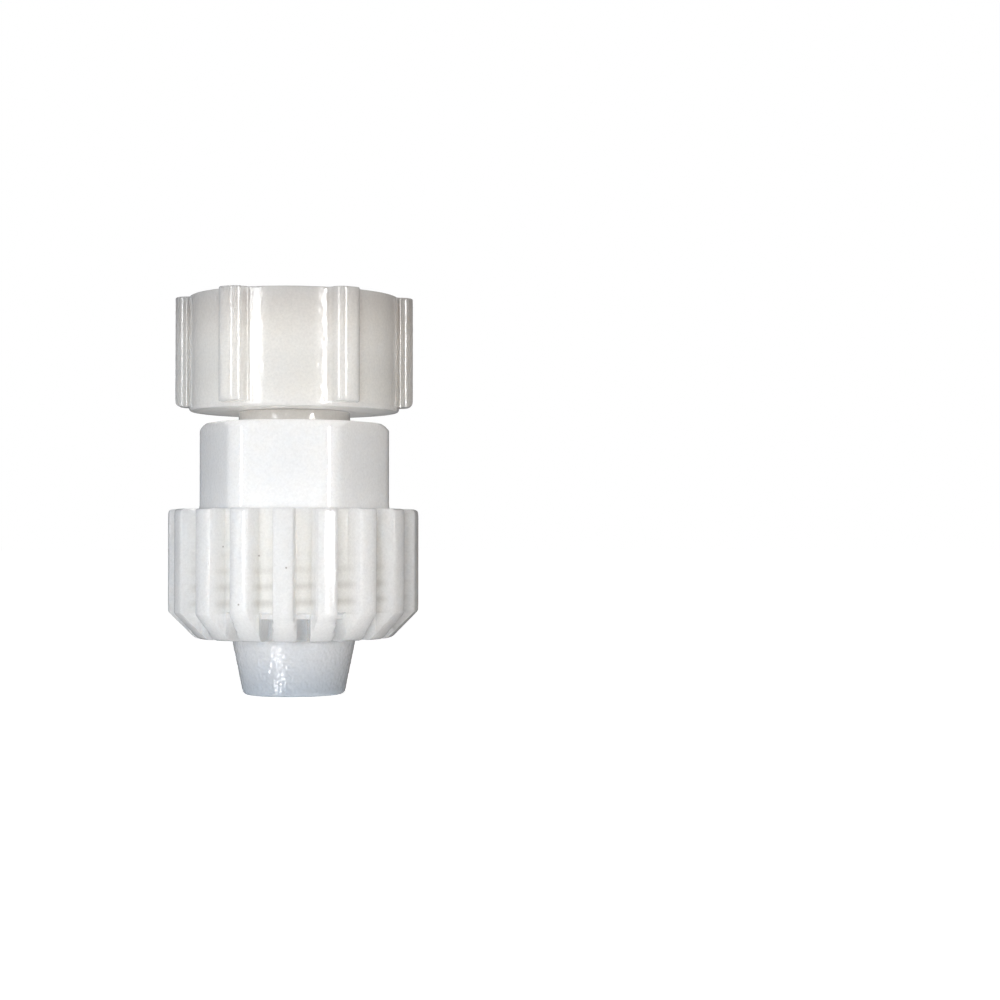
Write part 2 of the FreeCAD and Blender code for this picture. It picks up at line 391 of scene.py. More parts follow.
outer_radius = outer_radius - orange_peel(
    swivel_angle, outer_height[:, None], radius=swivel_wall, cell=0.38, depth=0.026
)
in_thread = thread_run(
    inner[:, 1:], pipe_thread_bottom - 0.2, swivel_high - 0.3, pipe_thread_fade
)
in_thread = in_thread * (np.abs(inner[:, :1] - pipe_thread_wall) < 0.5)
groove = thread_wave(swivel_angle, inner[:, 1:]) * in_thread
inner_radius = inner[:, :1] + pipe_thread_depth * groove
swivel_radius = np.concatenate([outer_radius, inner_radius])
swivel_height = np.concatenate([outer_height, inner[:, 1]])[:, None]
swivel_nut = ring_mesh("swivel_collar", around(swivel_radius, swivel_angle, swivel_height))
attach(swivel_nut, "swivel")
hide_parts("swivel_nut")

# %% [markdown]
# ## The compression nut
# The piece that takes the most skill: a hexagon above, 18 sloping ribs below, a bevelled foot,
# and a crown of open slots where the ribs run on past the wall. It could be cut out of a block
# with many boxes, but every cut would leave hard edges. Here it is one grid again, worked out
# in bands of rows: crown, ribs, hexagon, and the bore with the top that leads to it.

# %% Sizes of the compression nut
nut_low, nut_high = [corner.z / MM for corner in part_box("compression_nut")]
nut_turn = -5.0
hex_turn = -7.3
nut_wall = 12.1
rib_count = 18
rib_crest = 14.4
rib_reach = 14.44
nut_bore = 8.2
hex_low = nut_low + 14.8
hex_sides = 6
hex_across_flats = 19.8
hex_corner_radius = 11.0
hex_corner_softness = 0.3
hex_bevel_reach = 11.02
hex_top_bevel = 0.8
hex_bevel_softness = 0.2
hex_foot_hollow = 0.2
foot_bevel = 3.14
foot_round = 1.2
rib_top_round = 0.55
rib_softness = 0.1
slot_top = nut_low + 2.5
recess_top = nut_low + 3.3
recess_radius = nut_wall - 0.9
crown_top = recess_top + 0.2
nut_thread_depth = 0.6

rib_angles, rib_radii = half_tooth(
    nut_wall, rib_crest, base_width=2.56, crest_width=2.2, root_round=0.1, crest_round=0.3,
    counts=(3, 1, 4, 2)
)
rib_axis, rib_turn, nut_outline = ring_of_teeth(
    rib_angles, rib_radii, rib_count, nut_turn, nut_wall, valley_shares=[0, 0.5, 0.96]
)
half_pitch = FULL_TURN / (2 * rib_count)
edge_turn = rib_angles[0]
in_slot = np.abs(rib_turn) > edge_turn + 1e-9
print("compression nut:", len(rib_turn), "columns,", int(in_slot.sum()), "of them in slots")

# %% [markdown]
# ### Its columns
# The slots run in through the wall with parallel sides, so the plan angle of a column depends
# on how far in it stands. The hexagon above has six sides in place of 18 ribs, so its columns
# are spread anew.


# %% Plan angle of each column
def nut_plan_angle(radius):
    """Plan angle of every column at a radius. Outside the wall a column keeps its angle.
    Inside it, the slots have parallel sides: a column in a slot keeps its distance from the
    slot's middle, angle = arcsine of distance over radius, and a fin takes what is left."""
    inside = np.minimum(radius, nut_wall)
    distance = nut_wall * np.sin(half_pitch - np.abs(rib_turn))
    slot_turn = np.sign(rib_turn) * (half_pitch - np.arcsin(distance / inside))
    edge_distance = nut_wall * math.sin(half_pitch - edge_turn)
    fin_turn = rib_turn / edge_turn * (half_pitch - np.arcsin(edge_distance / inside))
    return rib_axis + np.where(in_slot, slot_turn, fin_turn)


def hexagon():
    """Columns spread round the hexagon, closer together near its corners, and its radius:
    half its width over flats divided by the cosine of the angle from the flat's middle, but
    no more than the radius to which the corners are turned down."""
    side_turn = FULL_TURN / hex_sides
    per_side = len(rib_turn) // hex_sides
    place = (np.arange(len(rib_turn)) + per_side // 3) / per_side
    share = np.interp(place % 1, [0, 0.2, 0.8, 1], [0, 0.12, 0.88, 1])
    first_corner = math.radians(hex_turn) - side_turn / 2
    angle = first_corner + (np.floor(place) + share) * side_turn
    flat = hex_across_flats / 2 / np.cos((share - 0.5) * side_turn)
    corner = np.full(len(flat), hex_corner_radius)
    return angle, soft_minimum(flat, corner, hex_corner_softness)


# %% [markdown]
# ### Its crown
# Below the wall the ribs run on as fins with open slots between them. Fins and slots share
# their rows: the ones follow the bevelled foot, the others the ceiling over the slot, and what
# lies between two such columns becomes the side of a fin.

# %% Rows of the crown
ceiling_shares = [0, 0.25, 0.55, 0.85, 1]


def nut_crown():
    """Rows of the crown, from the bore outwards and up to where slots and fins meet. On a fin
    they follow the bevelled foot. In a slot they follow the ceiling, the thinner wall and its
    ledge, whose four runs take fixed shares of the rows."""
    foot = rounded_line([
        (nut_bore, nut_low, 0, 0.9),
        (rib_reach - foot_bevel, nut_low, foot_round, 0.35),
        (rib_reach, nut_low + foot_bevel, 0.25, 1.0),
        (rib_reach, crown_top, 0, 30),
        (nut_bore, crown_top, 0, 30),
    ], arc_points=6)[:-1]
    ceiling = np.array([
        (nut_bore, slot_top), (recess_radius, slot_top), (recess_radius, recess_top - 0.3),
        (nut_wall, recess_top), (nut_wall, crown_top),
    ])
    length = np.concatenate([[0], np.cumsum(np.linalg.norm(np.diff(ceiling, axis=0), axis=1))])
    along = np.interp(np.linspace(0, 1, len(foot)), ceiling_shares, length)
    slot_radius = np.interp(along, length, ceiling[:, 0])[:, None]
    slot_height = np.interp(along, length, ceiling[:, 1])[:, None]
    fin_radius = soft_minimum(nut_outline, foot[:, :1], rib_softness)
    radius = np.where(in_slot, slot_radius, np.maximum(fin_radius, nut_bore))
    height = np.where(in_slot, slot_height, foot[:, 1:])
    return radius, height, nut_plan_angle(radius)


crown = nut_crown()
print("crown:", len(crown[0]), "rows")

# %% [markdown]
# ### Its ribs
# The ribs stand straight and end in rounded tops just below the hexagon. Their outline is kept
# all the way up, and the last rows take the smaller of it and a quarter round.


# %% Rows of the ribs
def spread(start, end, steps):
    """Rows between two values, both included, for every column."""
    share = np.linspace(0, 1, steps)[:, None]
    return start + share * (end - start)


def nut_ribs():
    """Rows of the ribs, straight up and over their rounded tops. Near the top everything also
    draws in by a little parabola, which rounds the edge of the wall between the ribs."""
    turn = np.linspace(0, math.pi / 2, 7)[:, None]
    straight_rows = 8
    straight = spread(crown_top + 0.4, hex_low - rib_top_round - 0.3, straight_rows)
    height = np.concatenate([straight, hex_low - rib_top_round * (1 - np.sin(turn))])
    reach = np.concatenate([
        np.full((straight_rows, 1), rib_reach + 1),
        rib_reach - rib_top_round * (1 - np.cos(turn)),
    ])
    edge = 0.15
    inset = edge * np.clip((height - hex_low + edge) / edge, 0, 1) ** 2
    radius = soft_minimum(nut_outline, reach, rib_softness) - inset
    return radius, height, nut_plan_angle(radius)


ribs = nut_ribs()
print("ribs:", len(ribs[0]), "rows")

# %% [markdown]
# ### Its hexagon
# As on most nuts the corners of the hexagon are turned down, so each flat ends in shallow arcs.
# A cone could be cut off it. The smaller of two radii, the flat's and a turned envelope's, does
# the same and keeps the grid whole.


# %% Rows of the hexagon
def stacked(*bands):
    """Bands of rows on top of each other. Each is a radius, a height and a plan angle, which
    broadcast to the size of their band first."""
    full = [np.broadcast_arrays(*band) for band in bands]
    return [np.concatenate(rows) for rows in zip(*full)]


def nut_hexagon(rib_radius, rib_angle):
    """Rows across the ribs' flat tops, up the hexagon and over its turned-down corners. The
    top edge draws in by a little parabola."""
    angle, radius = hexagon()
    turn = np.linspace(0, math.pi / 2, 4)[:, None]
    across = np.array([0.3, 0.65])[:, None]
    foot_radius = radius + hex_foot_hollow * (1 - np.sin(turn))
    foot_height = hex_low + hex_foot_hollow * (1 - np.cos(turn))
    face_radius = rib_radius + across * (foot_radius[0] - rib_radius)
    face_angle = rib_angle + across * (angle - rib_angle)
    envelope = rounded_line([
        (hex_bevel_reach + 0.28, hex_low, 0, 20),
        (hex_bevel_reach, hex_low + 0.5, 0, 0.35),
        (hex_bevel_reach, nut_high - hex_top_bevel, 0.4, 0.4),
        (hex_bevel_reach - hex_top_bevel, nut_high, 0.15, 5),
        (5, nut_high, 0, 20),
    ])[1:-2]
    edge = 0.2
    inset = edge * np.clip((envelope[:, 1:] - nut_high + edge) / edge, 0, 1) ** 2
    side_radius = soft_minimum(radius, envelope[:, :1], hex_bevel_softness) - inset
    return stacked(
        (face_radius, hex_low, face_angle),
        (foot_radius, foot_height, angle),
        (side_radius, envelope[:, 1:], angle),
    )


hex_rows = nut_hexagon(ribs[0][-1], ribs[2][-1])
print("hexagon:", len(hex_rows[0]), "rows")

# %% [markdown]
# ### Its bore
# The thread inside turns on the body's and pulls the nut down over the tube. The wall hides its
# form, so a few rows to each turn are enough.

# %% Rows of the bore
rows_per_turn = 8
nut_thread_fade = 0.9
bore_end_rows = 5


def nut_inside(top_radius, top_angle):
    """Rows across the top, down the threaded bore, and on to the ends of fins and slots."""
    lead_in = 0.5
    bore_angle = nut_plan_angle(np.full(len(rib_turn), nut_bore))
    across = np.array([0.5, 1.0])[:, None]
    face_radius = top_radius + across * (nut_bore + lead_in - top_radius)
    face_angle = top_angle + across * (bore_angle - top_angle)
    threaded = np.arange(nut_high - lead_in, crown_top, -thread_pitch / rows_per_turn)[:, None]
    run = thread_run(threaded, crown_top, nut_high - 0.2, nut_thread_fade)
    thread_radius = nut_bore + nut_thread_depth * run * thread_wave(bore_angle, threaded)
    column_end = np.where(in_slot, slot_top + 0.02, nut_low + 0.15)
    return stacked(
        (face_radius, nut_high, face_angle),
        (thread_radius, threaded, bore_angle),
        (nut_bore, spread(threaded[-1] - 0.1, column_end, bore_end_rows), bore_angle),
    )


bore_rows = nut_inside(hex_rows[0][-1], hex_rows[2][-1])
print("bore:", len(bore_rows[0]), "rows")

# %% Skin of the compression nut
nut_radius, nut_height, nut_angle = stacked(crown, ribs, hex_rows, bore_rows)
outside = slice(len(crown[0]), len(nut_radius) - len(bore_rows[0]))
on_hexagon = smoothstep((nut_height[outside] - hex_low - 0.3) / 0.5)
nut_radius[outside] -= on_hexagon * orange_peel(
    nut_angle[outside], nut_height[outside], radius=10.5, cell=0.4, depth=0.012
)
compression_nut = ring_mesh("ribbed_hexagon_nut", around(nut_radius, nut_angle, nut_height))
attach(compression_nut, "ribbed_nut")
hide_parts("compression_nut")

# %% [markdown]
# ## The barbed body
# The core that carries everything: the cone that the tube is pushed over, the stem behind it,
# the threaded shoulder under the nut, the neck that shows in the gap, and the spindle with the
# snap lip that holds the swivel nut. It is turned, so one profile carried round the axis does
# it. The thread is pushed into its shoulder by the same wave as in the nut, and pits into the
# barb, which has the roughest skin of all.

# %% Profile and skin of the barbed body
body_low, body_high = [corner.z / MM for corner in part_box("barbed_body")]
passage_radius = 4.5
tip_radius = 5.84
barb_radius = 7.15
barb_length = 6.35
stem_radius = 6.0
shoulder_low = 20.55
shoulder_high = 30.9
shoulder_radius = 8.15
neck_radius = 6.42
seat_height = 32.52
spindle_radius = 5.9
lip_radius = 6.45
lip_low = 34.97
lip_high = 35.42
body_thread_depth = 0.7
body_thread_fade = 0.8
body_columns = 440

body_profile = rounded_line([
    (passage_radius, body_low, 0.2, 0.8),
    (tip_radius, body_low, 0.6, 0.1),
    (barb_radius, body_low + barb_length, 0.35, 0.6),
    (stem_radius, body_low + barb_length, 0.2, 1.0),
    (stem_radius, shoulder_low, 0.3, 0.8),
    (shoulder_radius, shoulder_low, 0.5, 0.22),
    (shoulder_radius, shoulder_high, 0.4, 0.8),
    (neck_radius, shoulder_high, 0.15, 0.5),
    (neck_radius, seat_height, 0.1, 0.4),
    (spindle_radius, seat_height, 0.0, 0.8),
    (spindle_radius, lip_low, 0.0, 0.5),
    (lip_radius, lip_low, 0.1, 0.5),
    (lip_radius, lip_high, 0.1, 0.4),
    (lip_radius - 0.5, body_high, 0.15, 0.7),
    (passage_radius, body_high, 0.2, 1.5),
])
body_angle = np.linspace(0, FULL_TURN, body_columns, endpoint=False)
body_radius, body_height = body_profile[:, :1], body_profile[:, 1:]
on_shoulder = np.abs(body_radius - shoulder_radius) < 0.01
body_run = on_shoulder * thread_run(
    body_height, shoulder_low + 0.4, shoulder_high - 0.4, body_thread_fade
)
body_groove = body_thread_depth * body_run * thread_wave(body_angle, body_height)
on_barb = smoothstep((barb_length - body_height) / 0.3) * (body_radius > passage_radius + 0.3)
body_pits = on_barb * orange_peel(body_angle, body_height, radius=6.5, cell=0.25, depth=0.075)
barbed_body = ring_mesh(
    "barbed_core", around(body_radius - body_groove - body_pits, body_angle, body_height)
)
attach(barbed_body, "body")
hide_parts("barbed_body")

# %% [markdown]
# ## The sealing washer
# A soft ring that lies on the end of the body, under the pipe thread. Its rim is coned so that
# it centres itself in the pipe's end. Rubber edges are softer than plastic ones.

# %% Skin of the sealing washer
washer_low, washer_high = [corner.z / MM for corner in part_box("sealing_washer")]
washer_hole = 4.9
washer_rim = 10.0
washer_cone_radius = 8.3
washer_cone_height = 1.2
washer_columns = 160

washer_profile = rounded_line([
    (washer_hole, washer_low, 0.2, 1.0),
    (washer_rim, washer_low, 0.25, 0.6),
    (washer_rim, washer_high - washer_cone_height, 0.3, 0.5),
    (washer_cone_radius, washer_high, 0.35, 0.8),
    (washer_hole, washer_high, 0.3, 0.8),
])
washer_angle = np.linspace(0, FULL_TURN, washer_columns, endpoint=False)
sealing_washer = ring_mesh(
    "soft_washer", around(washer_profile[:, :1], washer_angle, washer_profile[:, 1:])
)
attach(sealing_washer, "body")
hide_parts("sealing_washer")

# %% [markdown]
# ## Materials
# The plastic is milky: light sinks in, scatters and comes out again some millimetres further.
# The Principled shader's subsurface part does this. A thin clear coat gives the gloss, with the
# finest grain of the skin as a bump, a powdery noise mottles the tint a little, and a few dark
# specks are moulded in. All patterns read Object coordinates.


# %% Helpers for shader trees
def new_material(name):
    """An empty material, with its tree, its Principled shader and its Object coordinates."""
    material = bpy.data.materials.new(name)
    material.use_nodes = True
    tree = material.node_tree
    tree.nodes.clear()
    output = tree.nodes.new("ShaderNodeOutputMaterial")
    shader = tree.nodes.new("ShaderNodeBsdfPrincipled")
    tree.links.new(shader.outputs["BSDF"], output.inputs["Surface"])
    place = tree.nodes.new("ShaderNodeTexCoord").outputs["Object"]
    return material, tree, shader, place


def feed(tree, socket, value):
    """Link an output into a socket, or set the socket to a plain value."""
    if isinstance(value, bpy.types.NodeSocket):
        tree.links.new(value, socket)
    else:
        socket.default_value = value


def feed_all(tree, node, values):
    """Feed a node's inputs, given as a dictionary from their names to outputs or values."""
    for name, value in values.items():
        feed(tree, node.inputs[name], value)


def math_node(tree, operation, *values):
    """One Math node on up to three outputs or numbers."""
    made = tree.nodes.new("ShaderNodeMath")
    made.operation = operation
    for socket, value in zip(made.inputs, values):
        feed(tree, socket, value)
    return made.outputs[0]


def vector_node(tree, operation, *values):
    """One Vector Math node on outputs or vectors, which gives a number or a vector."""
    made = tree.nodes.new("ShaderNodeVectorMath")
    made.operation = operation
    for socket, value in zip(made.inputs, values):
        feed(tree, socket, value)
    as_number = operation in ("DOT_PRODUCT", "LENGTH", "DISTANCE")
    return made.outputs["Value" if as_number else "Vector"]


def noise(tree, place, size, detail=2.0, roughness=0.5):
    """Noise whose blobs are about size millimetres across, between 0 and 1."""
    made = tree.nodes.new("ShaderNodeTexNoise")
    feed_all(tree, made, {
        "Vector": place, "Scale": 1 / (size * MM), "Detail": detail, "Roughness": roughness
    })
    return made.outputs[0]


def ramp(tree, value, low, high, out_low=0.0, out_high=1.0, form="LINEAR"):
    """Ramp of a value from low and high to out_low and out_high, held at the ends."""
    made = tree.nodes.new("ShaderNodeMapRange")
    made.interpolation_type = form
    feed_all(tree, made, {
        "Value": value, "From Min": low, "From Max": high, "To Min": out_low, "To Max": out_high
    })
    return made.outputs["Result"]


def blend(tree, share, first, second):
    """Colour between two others."""
    made = tree.nodes.new("ShaderNodeMix")
    made.data_type = "RGBA"
    feed_all(tree, made, {"Factor": share, "A": first, "B": second})
    return made.outputs["Result"]


def bump(tree, height, distance):
    """Bump of a height between 0 and 1 that stands distance millimetres high."""
    made = tree.nodes.new("ShaderNodeBump")
    feed_all(tree, made, {"Strength": 1.0, "Distance": distance * MM, "Height": height})
    return made.outputs["Normal"]


# %% [markdown]
# How much light comes back depends on how much plastic lies behind the skin, and here that
# shade is painted into the tint: the thin threaded rim of the collar is painted greyer than its
# foot, the wall between the ribs greyer than the ribs, and thread grooves are painted on it as
# faint dark slanting lines. All of these painted shades follow the piece itself, so they are
# worked out from its height, its radius and its plan angle.


# %% Masks for the shade painted by the depth of plastic behind the skin
def parts(tree, vector):
    """The three numbers of a vector, under their names."""
    made = tree.nodes.new("ShaderNodeSeparateXYZ")
    tree.links.new(vector, made.inputs[0])
    return made.outputs


def height_share(tree, place, low, high):
    """0 below a height and 1 above another, both in millimetres, with a soft ramp between."""
    return ramp(tree, parts(tree, place)["Z"], low * MM, high * MM, form="SMOOTHSTEP")


def groove_share(tree, place):
    """1 where a thread groove lies behind the skin and 0 at its crests: the height in pitches
    less the plan angle in turns, folded into a triangle wave, as for the thread's own shape."""
    along = parts(tree, place)
    turns = math_node(tree, "ARCTAN2", along["X"], math_node(tree, "MULTIPLY", along["Y"], -1.0))
    turns = math_node(tree, "DIVIDE", turns, FULL_TURN)
    pitches = math_node(tree, "DIVIDE", along["Z"], thread_pitch * MM)
    place_in_thread = math_node(tree, "FRACT", math_node(tree, "SUBTRACT", pitches, turns))
    triangle = math_node(tree, "ABSOLUTE", math_node(
        tree, "MULTIPLY_ADD", place_in_thread, 2.0, -1.0
    ))
    return ramp(tree, triangle, 0.35, 0.9)


# %% [markdown]
# Light that has gone through some millimetres of milky plastic forgets the small faces of its
# skin: a hexagon's side shades off like a round bar. So the diffuse light reads a normal that is
# turned part of the way from the face's own towards the axis's outward direction, while the
# gloss, a clear coat here, keeps the true skin with its pits.

# %% Normal for the light from inside
zone_edge = 0.1


def rounded_normal(tree, place, share):
    """The face's normal, turned by a share towards the outward direction from the axis where
    the face looks outwards, and left alone inside a bore, where the product of both is
    negative. The share is two numbers and the height in millimetres at which it changes."""
    face = tree.nodes.new("ShaderNodeNewGeometry").outputs["Normal"]
    level = vector_node(tree, "NORMALIZE", vector_node(tree, "MULTIPLY", place, (1, 1, 0)))
    to_world = tree.nodes.new("ShaderNodeVectorTransform")
    to_world.vector_type = "VECTOR"
    to_world.convert_from = "OBJECT"
    to_world.convert_to = "WORLD"
    tree.links.new(level, to_world.inputs[0])
    outward = to_world.outputs[0]
    below, above, height = share
    upper = height_share(tree, place, height - zone_edge, height + zone_edge)
    amount = math_node(
        tree, "MULTIPLY", ramp(tree, upper, 0, 1, below, above),
        ramp(tree, vector_node(tree, "DOT_PRODUCT", face, outward), -0.05, 0.1),
    )
    mix = tree.nodes.new("ShaderNodeMix")
    mix.data_type = "VECTOR"
    tree.links.new(amount, mix.inputs["Factor"])
    sockets = [socket for socket in mix.inputs if socket.type == "VECTOR" and socket.enabled]
    tree.links.new(face, sockets[-2])
    tree.links.new(outward, sockets[-1])
    result = [socket for socket in mix.outputs if socket.type == "VECTOR" and socket.enabled][0]
    return vector_node(tree, "NORMALIZE", result)


# %% Radius and specks
def radius_share(tree, place, low, high):
    """0 inside a radius and 1 outside another, both in millimetres: the length of the part of
    Object coordinates that lies level."""
    level = vector_node(tree, "MULTIPLY", place, (1, 1, 0))
    return ramp(tree, vector_node(tree, "LENGTH", level), low * MM, high * MM)


def speck_share(tree, place, spots, size):
    """1 in small specks round spots, given as radius, plan angle in degrees and height in
    millimetres: the distance to the nearest of them, against the specks' size."""
    nearest = 1.0
    for radius, angle, height in spots:
        spot = around(radius, math.radians(angle), height) * MM
        distance = vector_node(tree, "DISTANCE", place, spot.tolist())
        nearest = math_node(tree, "MINIMUM", distance, nearest)
    return ramp(tree, nearest, 0.6 * size * MM, size * MM, 1.0, 0.0)


# %% [markdown]
# All three mouldings are of the same plastic and differ in how much of it lies behind the skin,
# which is painted into their tints as light and shade. One recipe keeps them alike: a tint
# mottled by clouds, painted light and shade that change with height, painted shade on the wall
# between the ribs with darker thread grooves painted on it, a fine powder, specks and the clear
# coat.

# %% Milky plastic
plastic_ior = 1.49
cloud_size = 6.0
powder_size = 0.28
speck_size = 0.13
speck_tint = (0.50, 0.47, 0.45, 1)
wall_depth = 1.2


def milky_plastic(
    name, pale, deep, gloss, pits, grain, scatter, rounding=None, painted_shading_zones=(), hollow=None,
    lines=None, specks=()
):
    """Moulded translucent plastic. pale and deep are its two tints, gloss the roughness of its
    coat, pits and grain the height and size of the coat's bump in millimetres, scatter how far
    light travels inside, and rounding what rounded_normal takes. Each painted zone gives two
    heights between which the tint changes, and the tint of painted light and shade it changes to.
    The hollow entry gives the radii of the ribs' crests and of the wall between them, the wall's
    two ends and the shade painted on that wall, lines the heights between which thread grooves
    are painted on it as shade and their tint, and specks their spots."""
    material, tree, shader, place = new_material(name)
    cloud = noise(tree, place, cloud_size, detail=3.0)
    tint = blend(tree, ramp(tree, cloud, 0.35, 0.65), pale, deep)
    # Painted light and shade: each zone blends the tint towards a lighter or darker one between two
    # heights.
    for low, high, painted_shading_tint in painted_shading_zones:
        tint = blend(tree, height_share(tree, place, low, high), tint, painted_shading_tint)
    # Painted shade on the wall between the ribs, with thread grooves painted on it as darker lines.
    if hollow is not None:
        outer, inner, bottom, top, painted_shading_tint = hollow
        on_wall = math_node(
            tree, "MULTIPLY", radius_share(tree, place, outer, inner),
            radius_share(tree, place, inner - wall_depth - 0.4, inner - wall_depth),
        )
        between = math_node(
            tree, "MULTIPLY", height_share(tree, place, top + zone_edge, top - zone_edge),
            height_share(tree, place, bottom - zone_edge, bottom + zone_edge),
        )
        valley = math_node(tree, "MULTIPLY", on_wall, between)
        # Paint the shade on the wall between the ribs.
        tint = blend(tree, valley, tint, painted_shading_tint)
        # Paint the thread grooves on that wall as darker slanting lines.
        low, high, groove_shade_tint = lines
        groove = math_node(
            tree, "MULTIPLY", groove_share(tree, place), height_share(tree, place, low, high)
        )
        tint = blend(tree, math_node(tree, "MULTIPLY", groove, valley), tint, groove_shade_tint)
    powder = noise(tree, place, powder_size, detail=2.0, roughness=0.7)
    dusty = tree.nodes.new("ShaderNodeHueSaturation")
    brightness = ramp(tree, powder, 0.3, 0.7, out_low=0.94, out_high=1.04)
    feed_all(tree, dusty, {"Value": brightness, "Color": tint})
    tint = dusty.outputs["Color"]
    if specks:
        tint = blend(tree, speck_share(tree, place, specks, speck_size), tint, speck_tint)
    if rounding is not None:
        tree.links.new(rounded_normal(tree, place, rounding), shader.inputs["Normal"])
    feed_all(tree, shader, {
        "Base Color": tint, "Roughness": 0.5, "Specular IOR Level": 0.1,
        "Subsurface Weight": 1.0, "Subsurface Radius": (1.0, 0.95, 0.9),
        "Subsurface Scale": scatter * MM,
        "Coat Weight": 1.0, "Coat Roughness": gloss, "Coat IOR": plastic_ior,
        "Coat Normal": bump(tree, noise(tree, place, grain, detail=0.5), pits),
    })
    return material


# %% The three mouldings
collar_plastic = milky_plastic(
    "collar_plastic", (0.90, 0.86, 0.80, 1), (0.885, 0.85, 0.805, 1),
    gloss=0.18, pits=0.02, grain=0.4, scatter=5.0, rounding=(0.85, 0.85, 40),
    # The zone paints the collar darker towards its threaded top rim: painted shade.
    painted_shading_zones=((38.5, 46.5, (0.60, 0.58, 0.56, 1)),), specks=((13.3, 22.2, 33.4),),
)
nut_plastic = milky_plastic(
    "nut_plastic", (0.97, 0.97, 0.96, 1), (0.955, 0.955, 0.955, 1),
    gloss=0.15, pits=0.02, grain=0.4, scatter=3.0, rounding=(0.92, 0.35, 21.3),
    # Painted shade: the zone darkens the nut towards its foot and crown.
    painted_shading_zones=((9.5, 6.5, (0.75, 0.755, 0.76, 1)),),
    # Painted shade on the wall between the ribs.
    hollow=(13.8, 12.2, 9.6, 21.3, (0.88, 0.875, 0.855, 1)),
    # Thread grooves painted on that wall as darker lines, strongest low down.
    lines=(18.0, 11.0, (0.74, 0.73, 0.705, 1)),
    specks=(
        (12.15, -18.5, 16.04), (14.4, -3.5, 14.75), (14.4, -24.8, 10.73), (12.4, -39.2, 17.03),
    ),
)
core_plastic = milky_plastic(
    "core_plastic", (0.77, 0.78, 0.80, 1), (0.74, 0.755, 0.78, 1),
    gloss=0.09, pits=0.02, grain=0.3, scatter=1.6,
    painted_shading_zones=(
        # Painted shade: the barb bluer and darker towards its tip. Painted light: the stem and the
        # shoulder paler above the barb.
        (6.5, -1.5, (0.46, 0.51, 0.57, 1)), (6.25, 6.4, (0.93, 0.95, 0.97, 1)),
        # Painted shade: the neck, spindle and lip darker.
        (30.8, 31.0, (0.58, 0.565, 0.545, 1)),
    ),
)

# %% [markdown]
# ## Rubber
# Rubber is matt and powdery. Two tints mixed by a noise are enough for a hidden washer, with a
# slight bump from the same noise. Then every piece gets its material.

# %% Soft pale rubber
rubber_grain = 0.25
rubber_bump = 0.01


def soft_rubber(name):
    """Pale grey rubber: matt, with a fine powdery grain."""
    material, tree, shader, place = new_material(name)
    grain = noise(tree, place, rubber_grain, detail=3.0, roughness=0.6)
    tint = blend(tree, ramp(tree, grain, 0.3, 0.7), (0.66, 0.66, 0.64, 1), (0.58, 0.58, 0.56, 1))
    feed_all(tree, shader, {
        "Base Color": tint, "Roughness": 0.72, "Normal": bump(tree, grain, rubber_bump)
    })
    return material


rubber = soft_rubber("pale_rubber")
for piece, material in (
    (swivel_nut, collar_plastic), (compression_nut, nut_plastic),
    (barbed_body, core_plastic), (sealing_washer, rubber),
):
    piece.data.materials.append(material)
    print(piece.name, "is made of", material.name)

# %% [markdown]
# ## Camera
# The photograph looks at the fitting level, from a little below its middle, at about 230 mm.
# The fitting stands left of the picture's middle, so the camera is aimed past it to the right.

# %% Aim the camera
camera_distance = 230.2
camera_height = 17.8
camera_yaw = 5.94
camera_pitch = 1.15
camera_focal = 71.15

camera_data = bpy.data.cameras.new("camera")
camera_data.lens = camera_focal
camera_data.sensor_width = 36.0
camera_data.clip_start = 0.01
camera = bpy.data.objects.new("camera", camera_data)
camera.location = (0, -camera_distance * MM, camera_height * MM)
camera.rotation_euler = (
    math.radians(90 + camera_pitch), 0, math.radians(-camera_yaw)
)
bpy.context.scene.collection.objects.link(camera)
bpy.context.scene.camera = camera
print("camera:", camera_focal, "mm lens at", camera_distance, "mm from the axis")

# %% [markdown]
# ## Floor, surroundings and lamps
# A plain pale floor in white surroundings, which light the plastic only dimly, so its edges
# fall off into grey. The lamps stand in front. A tall cool one to the left and a narrow warm one
# to the right draw the long highlights, each helped by a sheen lamp that only the gloss sees,
# and a fill lights the middle. Two more send their light through the milky walls, from the
# front and from below. The barb's cone looks down, so its sheen comes from a lamp below the
# floor, which lights the core alone.

# %% Floor
floor_side = 3.0
floor_glow = 0.9


def pale_floor():
    """A wide plane under the fitting, white to the camera and dim to everything else."""
    mesh = bpy.data.meshes.new("floor")
    corners = [(x * floor_side, y * floor_side, 0) for x, y in ((-1, -1), (1, -1), (1, 1), (-1, 1))]
    mesh.from_pydata(corners, [], [(0, 1, 2, 3)])
    floor = bpy.data.objects.new("floor", mesh)
    bpy.context.scene.collection.objects.link(floor)
    material, tree, shader, _ = new_material("floor_white")
    path = tree.nodes.new("ShaderNodeLightPath")
    glow = math_node(tree, "MULTIPLY", path.outputs["Is Camera Ray"], floor_glow)
    feed_all(tree, shader, {
        "Base Color": (0.35, 0.35, 0.35, 1), "Roughness": 0.9,
        "Emission Color": (1, 1, 1, 1), "Emission Strength": glow,
    })
    floor.data.materials.append(material)


pale_floor()
print("floor:", 2 * floor_side, "m wide")

# %% Surroundings
sky_left = (0.40, 0.43, 0.475, 1)
sky_right = (0.38, 0.345, 0.31, 1)
sky_in_gloss = (0.06, 0.06, 0.07, 1)


